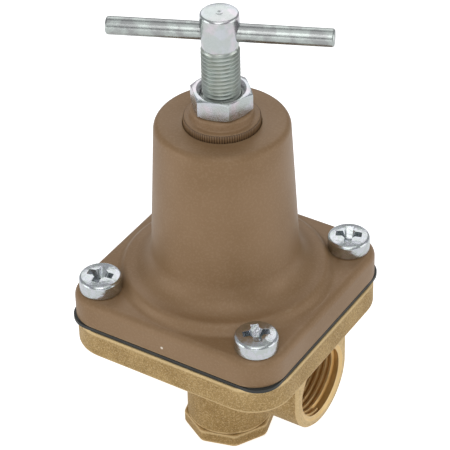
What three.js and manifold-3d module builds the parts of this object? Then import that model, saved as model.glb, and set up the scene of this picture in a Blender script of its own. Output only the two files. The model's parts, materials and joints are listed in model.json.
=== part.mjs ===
// Direct-acting water pressure regulator: a T-handle screw loads a spring, the spring loads a rubber
// diaphragm, and the diaphragm opens a disc valve under a seat in a brass body with two pipe ports.
// Millimetres. The origin is under the bottom plug, on the main axis. +Z is up and +X is the outlet.

import * as THREE from 'three';
import { mergeVertices } from 'three/addons/utils/BufferGeometryUtils.js';
import Module from 'manifold-3d';

const wasm = await Module();
wasm.setup();

// ---------------------------------------------------------------- driving dimensions

const REST_GAP = 0.05; // between faces that are clamped together
const RUN_GAP = 0.12; // on the radius, between a thread or rod and its hole
const ROUND = 40; // sides of a large turned part
const MID_ROUND = 28; // sides of a turned part inside the body
const SMALL_ROUND = 20; // sides of a screw, nut or rod
const CLEAR = 5; // how far a cutter runs past the face it cuts

const FLANGE_HALF = 35.4; // half the width of the bonnet's square flange
const FLANGE_CORNER = 10;
const FLANGE_THICK = 9;
const BODY_HALF = 35.9;
const BODY_CORNER = 12.5;
const SCREW_OFFSET = 26.9; // cover screws, from the main axis along X and along Y

const BODY_FLANGE_TOP = 49.8;
const BODY_FLANGE_THICK = 8.5;
const RUBBER_THICK = 1.15;
const JOINT_Z = 51; // underside of the bonnet
const FLANGE_TOP = JOINT_Z + FLANGE_THICK;

const PORT_Z = 29; // height of both pipe ports
const PORT_FACE_X = 33.3;
const PORT_BOSS_R = 14.6;
const PORT_MOUTH_R = 11.85; // across the chamfer
const PORT_BORE_R = 10.6; // 1/2 inch pipe thread, at the mouth
const PORT_DEPTH = 15;
const COLUMN_R = 13.2;
const COLUMN_BOTTOM = 4.7;

const PLUG_HEAD_R = 14.5; // across the corners of the octagon
const PLUG_HEAD_H = 4.4;
const PLUG_SHANK_R = 9.9;
const PLUG_TOP = 12;
const PLUG_TURN = 38.3; // degrees, one corner from +X
const PLUG_POCKET_R = 7.4; // seat of the valve spring
const PLUG_POCKET_DEPTH = 5;
const GROOVE_LOW = PLUG_HEAD_H + 0.8; // O-ring groove in the shank
const GROOVE_HIGH = PLUG_HEAD_H + 2.6;
const ORING_R = 0.6;

const CHAMBER_R = 9.6; // inlet chamber around the disc
const CHAMBER_TOP = 25.6;
const WEB_TOP = 31; // the web carries the seat ring
const WELL_R = 11; // outlet well above the seat
const PASSAGE_R = 4;
const PASSAGE_OFFSET = 8; // the inlet way is this far below the ports' axis, the outlet way above
const DISH_R = 25; // diaphragm chamber
const DISH_FLOOR = 44.4;
const DISH_SLOPE = 4; // across the sloping edge of the dish
const DISH_LIP = DISH_FLOOR + 3;

const VALVE_TRAVEL = 1.5;
const SEAT_LIP_Z = 24.3;
const ORIFICE_R = 4.5;
const STEM_R = 1.9;
const DISC_TOP = SEAT_LIP_Z - VALVE_TRAVEL;
const DISC_R = 7;
const DISC_THICK = 2.2;
const SCREEN_R = 9.2;
const SCREEN_WALL = 0.7;
const SCREEN_SLOT = 1.2;
const VALVE_SPRING_R = 5.8;
const VALVE_WIRE_R = 0.45;

const RUBBER_LOW = 46.3; // underside of the clamped middle
const SHEET_THICK = 1.1;
const CLAMP_R = 27; // where the turned sheet meets the square rim
const BOLT_R = 3;
const BOLT_BOTTOM = 42.4;
const PUSHER_R = 15.5;
const PUSHER_THICK = 1.3;
const PLATE_R = 16.2;
const PLATE_THICK = 1.4;
const PLATE_RIM = 2.6; // height of the turned-up rim that centres the spring

const WALL_TOP_R = 19.8; // spring cage, outside, under the shoulder
const WALL_LOW_R = 21.9;
const WALL_LOW_Z = 71.5;
const SHOULDER_Z = 111.4;
const SHOULDER_R = 2.2;
const CROWN_Z = 113.4;
const CROWN_RISE = 0.4;
const DOME_R = 31.4; // raised ring around the foot of the bell
const DOME_Z = 63.2;
const CAVITY_TOP_R = 16.8;
const CAVITY_LOW_R = 18.8;
const CAVITY_ROOF = 109.2;
const BELL_FILLET = 7;
const DOME_EDGE = 2.6;
const FLANGE_EDGE = 1.4;

const SPRING_R = 13.4; // to the middle of the wire
const SPRING_WIRE_R = 1.6;
const SPRING_TURNS = 8;
const BUTTON_Z = 98.6;
const BUTTON_R = 15.6;
const BUTTON_RIM = 2;
const BUTTON_HEIGHT = 5;

const INSERT_R = 11.2;
const INSERT_TOP = 115.3;
const INSERT_BOSS_R = 9.15;
const INSERT_BOSS_TOP = 118;
const INSERT_BOTTOM = 107.2;
const INSERT_SHANK_R = 8;
const INSERT_SEAT = 110.6; // the collar rests here
const KNURLS = 44;
const KNURL_DEPTH = 0.45;

const THREAD_R = 5.56; // 7/16-20
const STEM_TIP = 102.4;
const TIP_R = 2.6;
const STEM_TOP = 149;
const BAR_Z = 142.8;
const BAR_LENGTH = 64.4;
const BAR_R = 2.63;
const BAR_TURN = 23.76; // degrees from +X
const BAR_CHAMFER = 0.5;
const NUT_FLATS = 16.2;
const NUT_BOTTOM = 118.1;
const NUT_HEIGHT = 6;
const NUT_TURN = 14.8; // degrees, one corner from +X
const NUT_CHAMFER = 0.8;
const NUT_SINK = 0.9;

const HEAD_R = 6.4;
const HEAD_H = 5.4;
const SHANK_R = 3.1;
const SHANK_LENGTH = 17;
const HEAD_SIDE = 3.2; // straight side of a head, under its crown
const HEAD_ROUND = 2;
const RECESS_LENGTH = 7;
const RECESS_WIDTH = 1.3;
const RECESS_DEPTH = 1.5;
const RECESS_TURNS = [12, 40, 24, 65]; // where each screw stopped, in degrees

// ---------------------------------------------------------------- finishes

const finish = (color, roughness, metalness) =>
  new THREE.MeshStandardMaterial({ color, roughness, metalness });
const zinc = finish(0xc9ccce, 0.25, 1);
const paint = finish(0x8b735c, 0.45, 0.1);
const castBrass = finish(0xb09464, 0.5, 0.9);
const brass = finish(0xc2a060, 0.35, 1);
const steel = finish(0x9da1a4, 0.4, 1);
const rubber = finish(0x17191a, 0.8, 0);

// ---------------------------------------------------------------- shape helpers

const radians = THREE.MathUtils.degToRad;

// Joins shared corners and drops the empty triangles that this leaves at poles.
function weld(geometry) {
  const bare = geometry.clone();
  bare.deleteAttribute('normal');
  bare.deleteAttribute('uv');
  const merged = mergeVertices(bare, 1e-4);
  const index = merged.getIndex().array;
  const kept = [];
  for (let i = 0; i < index.length; i += 3) {
    const [a, b, c] = [index[i], index[i + 1], index[i + 2]];
    if (a !== b && b !== c && c !== a) kept.push(a, b, c);
  }
  merged.setIndex(kept);
  return merged;
}

function solid(geometry) {
  const merged = weld(geometry);
  return new wasm.Manifold(new wasm.Mesh({
    numProp: 3,
    vertProperties: new Float32Array(merged.getAttribute('position').array),
    triVerts: new Uint32Array(merged.getIndex().array),
  }));
}

function toGeometry(manifold) {
  const mesh = manifold.getMesh();
  const geometry = new THREE.BufferGeometry();
  geometry.setAttribute('position', new THREE.BufferAttribute(new Float32Array(mesh.vertProperties), 3));
  geometry.setIndex(new THREE.BufferAttribute(new Uint32Array(mesh.triVerts), 1));
  geometry.computeVertexNormals();
  return geometry;
}

// A turned solid about the main axis, from [radius, height] corners listed upwards along the outside.
function turned(profile, sides = ROUND) {
  const points = profile.map(([r, z]) => new THREE.Vector2(r, z));
  return solid(new THREE.LatheGeometry(points, sides).rotateX(Math.PI / 2));
}

const disc = (r, z0, z1, sides = ROUND) => turned([[0, z0], [r, z0], [r, z1], [0, z1]], sides);

const tube = (inner, outer, z0, z1, sides = ROUND) =>
  turned([[inner, z0], [outer, z0], [outer, z1], [inner, z1], [inner, z0]], sides);

// Points along a quarter of an ellipse, from one angle to another.
function arc(r, z, a, b, from, to, steps) {
  const points = [];
  for (let i = 0; i <= steps; i += 1) {
    const angle = radians(from + ((to - from) * i) / steps);
    points.push([r + a * Math.cos(angle), z + b * Math.sin(angle)]);
  }
  return points;
}

function roundedSquare(half, corner) {
  const straight = half - corner;
  const shape = new THREE.Shape();
  shape.moveTo(half, -straight);
  shape.absarc(straight, straight, corner, 0, Math.PI / 2);
  shape.absarc(-straight, straight, corner, Math.PI / 2, Math.PI);
  shape.absarc(-straight, -straight, corner, Math.PI, 1.5 * Math.PI);
  shape.absarc(straight, -straight, corner, 1.5 * Math.PI, 2 * Math.PI);
  return shape;
}

function plate(shape, z0, z1, bevel = 0) {
  const options = {
    depth: z1 - z0 - 2 * bevel,
    curveSegments: 6,
    bevelEnabled: bevel > 0,
    bevelThickness: bevel,
    bevelSize: bevel,
    bevelOffset: -bevel,
    bevelSegments: 2,
  };
  return solid(new THREE.ExtrudeGeometry(shape, options).translate(0, 0, z0 + bevel));
}

// A solid of revolution about an axis along X, at the ports' height.
function turnedAlongX(profile, sides = MID_ROUND) {
  const points = profile.map(([r, x]) => new THREE.Vector2(r, x));
  const geometry = new THREE.LatheGeometry(points, sides).rotateZ(-Math.PI / 2);
  return solid(geometry.translate(0, 0, PORT_Z));
}

function prism(sides, flats, z0, z1, turn) {
  const corner = flats / 2 / Math.cos(Math.PI / sides);
  const geometry = new THREE.CylinderGeometry(corner, corner, z1 - z0, sides).rotateX(Math.PI / 2);
  return solid(geometry.rotateZ(radians(turn) + Math.PI / 2).translate(0, 0, (z0 + z1) / 2));
}

class Helix extends THREE.Curve {
  constructor(radius, z0, z1, turns) {
    super();
    Object.assign(this, { radius, z0, z1, turns });
  }

  getPoint(t, target = new THREE.Vector3()) {
    const angle = 2 * Math.PI * this.turns * t;
    const z = this.z0 + (this.z1 - this.z0) * t;
    return target.set(this.radius * Math.cos(angle), this.radius * Math.sin(angle), z);
  }
}

function coil(radius, wire, z0, z1, turns, stepsPerTurn, sides) {
  const section = new THREE.Shape();
  for (let i = 0; i < sides; i += 1) {
    const angle = (2 * Math.PI * i) / sides;
    const [x, y] = [wire * Math.cos(angle), wire * Math.sin(angle)];
    if (i === 0) section.moveTo(x, y);
    else section.lineTo(x, y);
  }
  const path = new Helix(radius, z0 + wire + REST_GAP, z1 - wire - REST_GAP, turns);
  return solid(new THREE.ExtrudeGeometry(section, { steps: turns * stepsPerTurn, extrudePath: path }));
}

const part = new THREE.Group();

function add(name, shape, material) {
  const mesh = new THREE.Mesh(toGeometry(shape), material);
  mesh.name = name;
  part.add(mesh);
  return mesh;
}

const corners = [[-1, -1], [1, -1], [1, 1], [-1, 1]];

function atCorners(shape, cutter) {
  return corners.reduce(
    (left, [x, y]) => left.subtract(cutter.translate([x * SCREW_OFFSET, y * SCREW_OFFSET, 0])),
    shape,
  );
}

// A cutter for a cover screw's hole through both flanges.
function screwHole(gap) {
  const low = BODY_FLANGE_TOP - BODY_FLANGE_THICK - CLEAR;
  return disc(SHANK_R + gap, low, FLANGE_TOP + CLEAR, SMALL_ROUND);
}

// ---------------------------------------------------------------- brass body

function bossShape() {
  const top = BODY_FLANGE_TOP - 3;
  const shape = new THREE.Shape();
  shape.moveTo(-PORT_BOSS_R, PORT_Z);
  shape.absarc(0, PORT_Z, PORT_BOSS_R, Math.PI, 2 * Math.PI);
  shape.lineTo(PORT_BOSS_R, top);
  shape.lineTo(-PORT_BOSS_R, top);
  return shape;
}

function portBosses() {
  const chamfer = 0.8;
  const length = 2 * (PORT_FACE_X - chamfer);
  const geometry = new THREE.ExtrudeGeometry(bossShape(), {
    depth: length,
    curveSegments: 14,
    bevelThickness: chamfer,
    bevelSize: chamfer,
    bevelOffset: -chamfer,
    bevelSegments: 1,
  });
  return solid(geometry.translate(0, 0, -length / 2).rotateX(Math.PI / 2).rotateZ(Math.PI / 2));
}

function portBore() {
  const inner = PORT_FACE_X - PORT_DEPTH;
  const chamfer = PORT_MOUTH_R - PORT_BORE_R;
  const taper = PORT_DEPTH / 32;
  return turnedAlongX([
    [0, inner],
    [PORT_BORE_R - taper, inner],
    [PORT_BORE_R, PORT_FACE_X - chamfer],
    [PORT_MOUTH_R, PORT_FACE_X],
    [PORT_MOUTH_R, PORT_FACE_X + 1],
    [0, PORT_FACE_X + 1],
  ]);
}

function passage(x0, x1, z) {
  const geometry = new THREE.CylinderGeometry(PASSAGE_R, PASSAGE_R, x1 - x0, SMALL_ROUND);
  geometry.rotateZ(Math.PI / 2);
  return solid(geometry.translate((x0 + x1) / 2, 0, z));
}

function valveBody() {
  const outline = roundedSquare(BODY_HALF, BODY_CORNER);
  const flange = plate(outline, BODY_FLANGE_TOP - BODY_FLANGE_THICK, BODY_FLANGE_TOP);
  const column = turned([
    [0, COLUMN_BOTTOM],
    [COLUMN_R - 0.4, COLUMN_BOTTOM],
    [COLUMN_R, COLUMN_BOTTOM + 0.4],
    [COLUMN_R, DISH_FLOOR - 1],
    [0, DISH_FLOOR - 1],
  ]);
  const reach = PORT_FACE_X - PORT_DEPTH + 1;
  const hollows = [
    disc(PLUG_SHANK_R + RUN_GAP, COLUMN_BOTTOM - 1, PLUG_TOP + 0.5),
    disc(CHAMBER_R, PLUG_TOP, CHAMBER_TOP, MID_ROUND),
    disc(DISC_R, CHAMBER_TOP - 1, WEB_TOP + 1, MID_ROUND),
    disc(WELL_R, WEB_TOP, DISH_FLOOR + 1, MID_ROUND),
    turned([
      [0, DISH_FLOOR],
      [DISH_R - DISH_SLOPE, DISH_FLOOR],
      [DISH_R, DISH_LIP],
      [DISH_R, BODY_FLANGE_TOP + CLEAR],
      [0, BODY_FLANGE_TOP + CLEAR],
    ]),
    portBore(),
    portBore().rotate([0, 0, 180]),
    passage(-reach, 0, PORT_Z - PASSAGE_OFFSET),
    passage(0, reach, PORT_Z + PASSAGE_OFFSET),
  ];
  const casting = flange.add(column).add(portBosses());
  const bored = hollows.reduce((left, hollow) => left.subtract(hollow), casting);
  return atCorners(bored, screwHole(RUN_GAP));
}

add('valve_body', valveBody(), castBrass);

// ---------------------------------------------------------------- bottom plug and inlet parts

function bottomPlug() {
  const flats = 2 * PLUG_HEAD_R * Math.cos(Math.PI / 8);
  const head = prism(8, flats, 0, PLUG_HEAD_H, PLUG_TURN);
  const trim = turned([
    [0, 0],
    [PLUG_HEAD_R - 1.6, 0],
    [PLUG_HEAD_R, 0.9],
    [PLUG_HEAD_R, PLUG_HEAD_H],
    [0, PLUG_HEAD_H],
  ]);
  const groove = tube(PLUG_SHANK_R - 2 * ORING_R, PLUG_SHANK_R + CLEAR, GROOVE_LOW, GROOVE_HIGH);
  const shank = disc(PLUG_SHANK_R, PLUG_HEAD_H - 1, PLUG_TOP);
  const pocket = disc(PLUG_POCKET_R, PLUG_TOP - PLUG_POCKET_DEPTH, PLUG_TOP + CLEAR, MID_ROUND);
  return head.intersect(trim).add(shank).subtract(groove).subtract(pocket);
}

add('bottom_plug', bottomPlug(), castBrass);

const oring = new THREE.TorusGeometry(PLUG_SHANK_R - 0.5, ORING_R, 6, MID_ROUND);
add('plug_oring', solid(oring.translate(0, 0, (GROOVE_LOW + GROOVE_HIGH) / 2)), rubber);

function strainer() {
  const low = PLUG_TOP + REST_GAP;
  const high = CHAMBER_TOP - 2 * REST_GAP;
  const sleeve = tube(SCREEN_R - SCREEN_WALL, SCREEN_R, low, high, MID_ROUND);
  const opening = new THREE.BoxGeometry(4 * SCREEN_R, SCREEN_SLOT, (high - low) / 2);
  const slot = solid(opening.translate(0, 0, (low + high) / 2));
  let screen = sleeve;
  for (let turn = 0; turn < 180; turn += 45) screen = screen.subtract(slot.rotate([0, 0, turn]));
  return screen;
}

add('strainer_screen', strainer(), steel);

// ---------------------------------------------------------------- seat, disc and stem

const seatProfile = [
  [ORIFICE_R, SEAT_LIP_Z],
  [ORIFICE_R + 0.6, SEAT_LIP_Z],
  [ORIFICE_R + 1.2, CHAMBER_TOP],
  [DISC_R - RUN_GAP, CHAMBER_TOP],
  [DISC_R - RUN_GAP, WEB_TOP + REST_GAP],
  [DISC_R + 1.6, WEB_TOP + REST_GAP],
  [DISC_R + 1.6, WEB_TOP + 1.8],
  [ORIFICE_R, WEB_TOP + 1.8],
  [ORIFICE_R, SEAT_LIP_Z],
];
add('seat_ring', turned(seatProfile, MID_ROUND), brass);

const CUP_BOTTOM = DISC_TOP - DISC_THICK - 2.6;
const cupProfile = [
  [STEM_R + RUN_GAP, CUP_BOTTOM],
  [DISC_R, CUP_BOTTOM],
  [DISC_R, DISC_TOP - 0.5],
  [DISC_R - 0.8, DISC_TOP - 0.5],
  [DISC_R - 0.8, DISC_TOP - DISC_THICK - REST_GAP],
  [STEM_R + RUN_GAP, DISC_TOP - DISC_THICK - REST_GAP],
  [STEM_R + RUN_GAP, CUP_BOTTOM],
];
add('disc_holder', turned(cupProfile, MID_ROUND), brass);
const seatDisc = tube(STEM_R + RUN_GAP, DISC_R - 0.9, DISC_TOP - DISC_THICK, DISC_TOP, MID_ROUND);
add('seat_disc', seatDisc, rubber);

const STEM_LOW = CUP_BOTTOM - 3;
const stemProfile = [
  [0, STEM_LOW],
  [STEM_R, STEM_LOW],
  [STEM_R, DISC_TOP + REST_GAP],
  [STEM_R + 1.2, DISC_TOP + REST_GAP],
  [STEM_R + 1.2, DISC_TOP + 1.2],
  [STEM_R, DISC_TOP + 1.6],
  [STEM_R, BOLT_BOTTOM - 0.4],
  [0, BOLT_BOTTOM - REST_GAP],
];
add('valve_stem', turned(stemProfile, SMALL_ROUND), steel);

const stemNut = prism(6, 6, CUP_BOTTOM - 2.4, CUP_BOTTOM - REST_GAP, 0);
add('stem_nut', stemNut.subtract(disc(STEM_R + RUN_GAP, 0, 30, SMALL_ROUND)), steel);
const springSeat = PLUG_TOP - PLUG_POCKET_DEPTH;
add('valve_spring', coil(VALVE_SPRING_R, VALVE_WIRE_R, springSeat, CUP_BOTTOM, 4, 10, 5), steel);

// ---------------------------------------------------------------- diaphragm and its plates

const RUBBER_TOP = BODY_FLANGE_TOP + RUBBER_THICK;

function diaphragm() {
  const under = BODY_FLANGE_TOP + REST_GAP;
  const rim = plate(roundedSquare(FLANGE_HALF - 0.1, FLANGE_CORNER - 2.4), under, RUBBER_TOP);
  const sheet = turned([
    [BOLT_R + RUN_GAP, RUBBER_LOW],
    [17, RUBBER_LOW],
    [19, RUBBER_LOW + 0.8],
    [21, under - 0.6],
    [23, under],
    [CLAMP_R, under],
    [CLAMP_R, RUBBER_TOP],
    [22.6, RUBBER_TOP],
    [20.6, RUBBER_TOP - 0.6],
    [18.4, RUBBER_LOW + 0.8 + SHEET_THICK],
    [16.8, RUBBER_LOW + SHEET_THICK],
    [BOLT_R + RUN_GAP, RUBBER_LOW + SHEET_THICK],
    [BOLT_R + RUN_GAP, RUBBER_LOW],
  ]);
  const ring = rim.subtract(disc(CLAMP_R - 1, under - CLEAR, RUBBER_TOP + CLEAR));
  return atCorners(ring.add(sheet), screwHole(RUN_GAP));
}

add('diaphragm', diaphragm(), rubber);

const PUSHER_LOW = RUBBER_LOW - PUSHER_THICK;
const pusher = tube(BOLT_R + RUN_GAP, PUSHER_R, PUSHER_LOW, RUBBER_LOW - REST_GAP, MID_ROUND);
add('pusher_plate', pusher, brass);

const PLATE_LOW = RUBBER_LOW + SHEET_THICK + REST_GAP;
const PLATE_TOP = PLATE_LOW + PLATE_THICK;
const plateProfile = [
  [BOLT_R + RUN_GAP, PLATE_LOW],
  [PLATE_R, PLATE_LOW],
  [PLATE_R + 1.2, PLATE_LOW + PLATE_RIM],
  [PLATE_R, PLATE_LOW + PLATE_RIM],
  [PLATE_R - 0.6, PLATE_TOP],
  [BOLT_R + RUN_GAP, PLATE_TOP],
  [BOLT_R + RUN_GAP, PLATE_LOW],
];
add('pressure_plate', turned(plateProfile, MID_ROUND), steel);

const BOLT_FLATS = 10;
const boltTop = PLATE_TOP + 4.4;
const boltHead = prism(6, BOLT_FLATS, BOLT_BOTTOM, PUSHER_LOW - REST_GAP, 0);
const diaphragmBolt = boltHead.add(disc(BOLT_R, RUBBER_LOW - 2, boltTop, SMALL_ROUND));
add('diaphragm_bolt', diaphragmBolt, steel);

const boltNut = prism(6, BOLT_FLATS, PLATE_TOP + REST_GAP, PLATE_TOP + 3.6, 30);
const boltHole = disc(BOLT_R + RUN_GAP, PLATE_TOP - CLEAR, PLATE_TOP + 2 * CLEAR, SMALL_ROUND);
add('diaphragm_nut', boltNut.subtract(boltHole), steel);

// ---------------------------------------------------------------- spring and button

add('range_spring', coil(SPRING_R, SPRING_WIRE_R, PLATE_TOP, BUTTON_Z, SPRING_TURNS, 12, 6), steel);

const buttonProfile = [
  [0, BUTTON_Z - BUTTON_RIM],
  [SPRING_R - SPRING_WIRE_R - 1, BUTTON_Z - BUTTON_RIM],
  [SPRING_R - SPRING_WIRE_R - 0.6, BUTTON_Z],
  [BUTTON_R, BUTTON_Z],
  [BUTTON_R, BUTTON_Z + BUTTON_RIM],
  [BUTTON_R / 2, BUTTON_Z + BUTTON_HEIGHT],
  [THREAD_R + 0.6, BUTTON_Z + BUTTON_HEIGHT],
  [THREAD_R + 0.4, STEM_TIP + 0.6],
  [TIP_R, STEM_TIP - REST_GAP],
  [0, STEM_TIP - REST_GAP],
];
add('spring_button', turned(buttonProfile, MID_ROUND), steel);

// ---------------------------------------------------------------- spring cage

function bellOutside() {
  const shoulderRise = CROWN_Z - SHOULDER_Z - CROWN_RISE / 2;
  const filletDrop = WALL_LOW_Z - DOME_Z - 0.3;
  const outline = [
    [0, JOINT_Z + 1],
    [DOME_R + 0.6, JOINT_Z + 1],
    [DOME_R + 0.6, FLANGE_TOP],
    [DOME_R - 0.2, FLANGE_TOP + 0.8],
    ...arc(DOME_R - DOME_EDGE - 0.4, DOME_Z - DOME_EDGE, DOME_EDGE, DOME_EDGE, 10, 80, 3),
    ...arc(WALL_LOW_R + BELL_FILLET + 0.4, WALL_LOW_Z, BELL_FILLET, filletDrop, 265, 182, 5),
    ...arc(WALL_TOP_R - SHOULDER_R, SHOULDER_Z, SHOULDER_R, shoulderRise, 0, 85, 4),
    [0, CROWN_Z],
  ];
  return turned(outline);
}

function bonnet() {
  const flange = plate(roundedSquare(FLANGE_HALF, FLANGE_CORNER), JOINT_Z, FLANGE_TOP, FLANGE_EDGE);
  const foot = plate(roundedSquare(FLANGE_HALF, FLANGE_CORNER), JOINT_Z, JOINT_Z + 4);
  const cavity = turned([
    [0, JOINT_Z - 1],
    [DISH_R, JOINT_Z - 1],
    [DISH_R, JOINT_Z + 4],
    [CAVITY_LOW_R, JOINT_Z + 13],
    [CAVITY_TOP_R, CAVITY_ROOF - 2],
    [CAVITY_TOP_R - 2, CAVITY_ROOF],
    [0, CAVITY_ROOF],
  ]);
  const insertSeat = disc(INSERT_R + RUN_GAP, INSERT_SEAT, CROWN_Z + CLEAR);
  const insertHole = disc(INSERT_SHANK_R + RUN_GAP, CAVITY_ROOF - 1, CROWN_Z + CLEAR, MID_ROUND);
  const casting = flange.add(foot).add(bellOutside());
  const shell = casting.subtract(cavity).subtract(insertSeat).subtract(insertHole);
  const spotFace = disc(HEAD_R + 0.6, FLANGE_TOP, FLANGE_TOP + CLEAR, MID_ROUND);
  return atCorners(atCorners(shell, screwHole(2 * RUN_GAP)), spotFace);
}

add('bonnet', bonnet(), paint);

function knurledCollar(z0, z1) {
  const shape = new THREE.Shape();
  for (let i = 0; i < 2 * KNURLS; i += 1) {
    const angle = (Math.PI * i) / KNURLS;
    const r = i % 2 ? INSERT_R - KNURL_DEPTH : INSERT_R;
    const [x, y] = [r * Math.cos(angle), r * Math.sin(angle)];
    if (i === 0) shape.moveTo(x, y);
    else shape.lineTo(x, y);
  }
  return plate(shape, z0, z1);
}

function bonnetInsert() {
  const shank = disc(INSERT_SHANK_R, INSERT_BOTTOM, INSERT_TOP, MID_ROUND);
  const boss = turned([
    [0, INSERT_TOP - 1],
    [INSERT_BOSS_R + 0.3, INSERT_TOP - 1],
    [INSERT_BOSS_R, INSERT_TOP + 1],
    [INSERT_BOSS_R - 0.8, INSERT_BOSS_TOP],
    [0, INSERT_BOSS_TOP],
  ], MID_ROUND);
  const bore = disc(THREAD_R + RUN_GAP, INSERT_BOTTOM - 1, INSERT_BOSS_TOP + 1, SMALL_ROUND);
  return knurledCollar(INSERT_SEAT + REST_GAP, INSERT_TOP).add(shank).add(boss).subtract(bore);
}

add('bonnet_insert', bonnetInsert(), paint);

// ---------------------------------------------------------------- screw, handle and lock nut

function adjustingScrew() {
  const rod = turned([
    [0, STEM_TIP],
    [TIP_R, STEM_TIP],
    [THREAD_R, STEM_TIP + 1.6],
    [THREAD_R, STEM_TOP - 1.6],
    [THREAD_R - 0.9, STEM_TOP],
    [0, STEM_TOP],
  ], SMALL_ROUND);
  const holeR = BAR_R + 0.08;
  const hole = new THREE.CylinderGeometry(holeR, holeR, 4 * THREAD_R, SMALL_ROUND).rotateZ(Math.PI / 2);
  return rod.subtract(solid(hole.rotateZ(radians(BAR_TURN)).translate(0, 0, BAR_Z)));
}

add('adjusting_screw', adjustingScrew(), zinc);

const barProfile = [
  [0, 0],
  [BAR_R - BAR_CHAMFER, 0],
  [BAR_R, BAR_CHAMFER],
  [BAR_R, BAR_LENGTH - BAR_CHAMFER],
  [BAR_R - BAR_CHAMFER, BAR_LENGTH],
  [0, BAR_LENGTH],
];
const bar = turned(barProfile, SMALL_ROUND).translate([0, 0, -BAR_LENGTH / 2]).rotate([0, 90, 0]);
add('t_bar', bar.rotate([0, 0, BAR_TURN]).translate([0, 0, BAR_Z]), zinc);

function lockNut() {
  const corner = NUT_FLATS / Math.sqrt(3);
  const top = NUT_BOTTOM + NUT_HEIGHT;
  const hex = prism(6, NUT_FLATS, NUT_BOTTOM, top, NUT_TURN);
  const chamfers = turned([
    [0, NUT_BOTTOM],
    [NUT_FLATS / 2 - 0.2, NUT_BOTTOM],
    [corner + 0.1, NUT_BOTTOM + NUT_CHAMFER],
    [corner + 0.1, top - NUT_CHAMFER],
    [NUT_FLATS / 2 - 0.2, top],
    [0, top],
  ], MID_ROUND);
  const bore = turned([
    [0, NUT_BOTTOM - 1],
    [THREAD_R + 1, NUT_BOTTOM - 1],
    [THREAD_R + 1, NUT_BOTTOM],
    [THREAD_R + RUN_GAP, NUT_BOTTOM + NUT_SINK],
    [THREAD_R + RUN_GAP, top - NUT_SINK],
    [THREAD_R + 1, top],
    [THREAD_R + 1, top + 1],
    [0, top + 1],
  ], SMALL_ROUND);
  return hex.intersect(chamfers).subtract(bore);
}

add('lock_nut', lockNut(), zinc);

// ---------------------------------------------------------------- cover screws

function coverScrew(turn) {
  const seat = FLANGE_TOP + REST_GAP;
  const top = seat + HEAD_H;
  const head = turned([
    [0, seat - SHANK_LENGTH],
    [SHANK_R - 0.6, seat - SHANK_LENGTH],
    [SHANK_R, seat - SHANK_LENGTH + 0.6],
    [SHANK_R, seat],
    [HEAD_R, seat],
    [HEAD_R, seat + HEAD_SIDE],
    ...arc(HEAD_R - HEAD_ROUND, seat + HEAD_SIDE, HEAD_ROUND, HEAD_ROUND - 0.2, 15, 80, 2),
    [0, top],
  ], SMALL_ROUND);
  const opening = new THREE.BoxGeometry(RECESS_LENGTH, RECESS_WIDTH, 2 * RECESS_DEPTH);
  const slot = solid(opening.translate(0, 0, top));
  const recess = slot.add(slot.rotate([0, 0, 90])).rotate([0, 0, turn]);
  return head.subtract(recess);
}

corners.forEach(([x, y], i) => {
  const mesh = add(`cover_screw_${i + 1}`, coverScrew(RECESS_TURNS[i]), zinc);
  mesh.position.set(x * SCREW_OFFSET, y * SCREW_OFFSET, 0);
});

export default part;
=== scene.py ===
# %% [markdown]
# # A water pressure regulator
# The regulator has a painted, bell-shaped spring cage on a cast brass body. A plated screw with
# a T-handle stands on top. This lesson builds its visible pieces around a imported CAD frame.
# The frame gives every place and size, so nothing is fitted by eye: a piece is measured from the
# box of the node that it stands for.

# %% Load the frame
import json
import math

import bmesh
import bpy
from mathutils import Matrix, Vector


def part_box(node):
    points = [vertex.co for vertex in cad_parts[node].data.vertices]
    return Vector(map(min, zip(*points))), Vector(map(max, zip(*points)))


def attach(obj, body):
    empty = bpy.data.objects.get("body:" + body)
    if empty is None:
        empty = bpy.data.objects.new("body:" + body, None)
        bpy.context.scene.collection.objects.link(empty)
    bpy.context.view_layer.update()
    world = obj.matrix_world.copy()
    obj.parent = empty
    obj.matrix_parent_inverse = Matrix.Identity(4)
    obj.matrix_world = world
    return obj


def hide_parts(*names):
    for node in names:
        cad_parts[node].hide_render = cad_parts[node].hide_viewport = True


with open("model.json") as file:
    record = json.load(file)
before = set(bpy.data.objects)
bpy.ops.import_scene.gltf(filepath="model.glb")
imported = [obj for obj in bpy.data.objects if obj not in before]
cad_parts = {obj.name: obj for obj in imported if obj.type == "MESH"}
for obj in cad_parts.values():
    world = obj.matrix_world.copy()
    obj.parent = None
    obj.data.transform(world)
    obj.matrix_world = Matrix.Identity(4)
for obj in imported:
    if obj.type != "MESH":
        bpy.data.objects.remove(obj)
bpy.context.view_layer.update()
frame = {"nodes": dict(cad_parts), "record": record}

MM = 0.001


# %% [markdown]
# ## Camera
# A product shot like this is taken from well above with a long lens, which keeps the verticals
# nearly parallel. A camera is a matrix: its right, up and backward directions and its place.
# They come from three plain angles, so anyone can turn the camera by changing one number.

# %% Camera
CAMERA_AZIMUTH = math.radians(32.77)
CAMERA_ELEVATION = math.radians(36.96)
CAMERA_ROLL = math.radians(-1.545)
CAMERA_DISTANCE = 640.4 * MM
CAMERA_AIM = Vector((0, 0, 75.8 * MM))
CAMERA_LENS = 173.66  # on a 36 mm wide sensor


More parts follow.
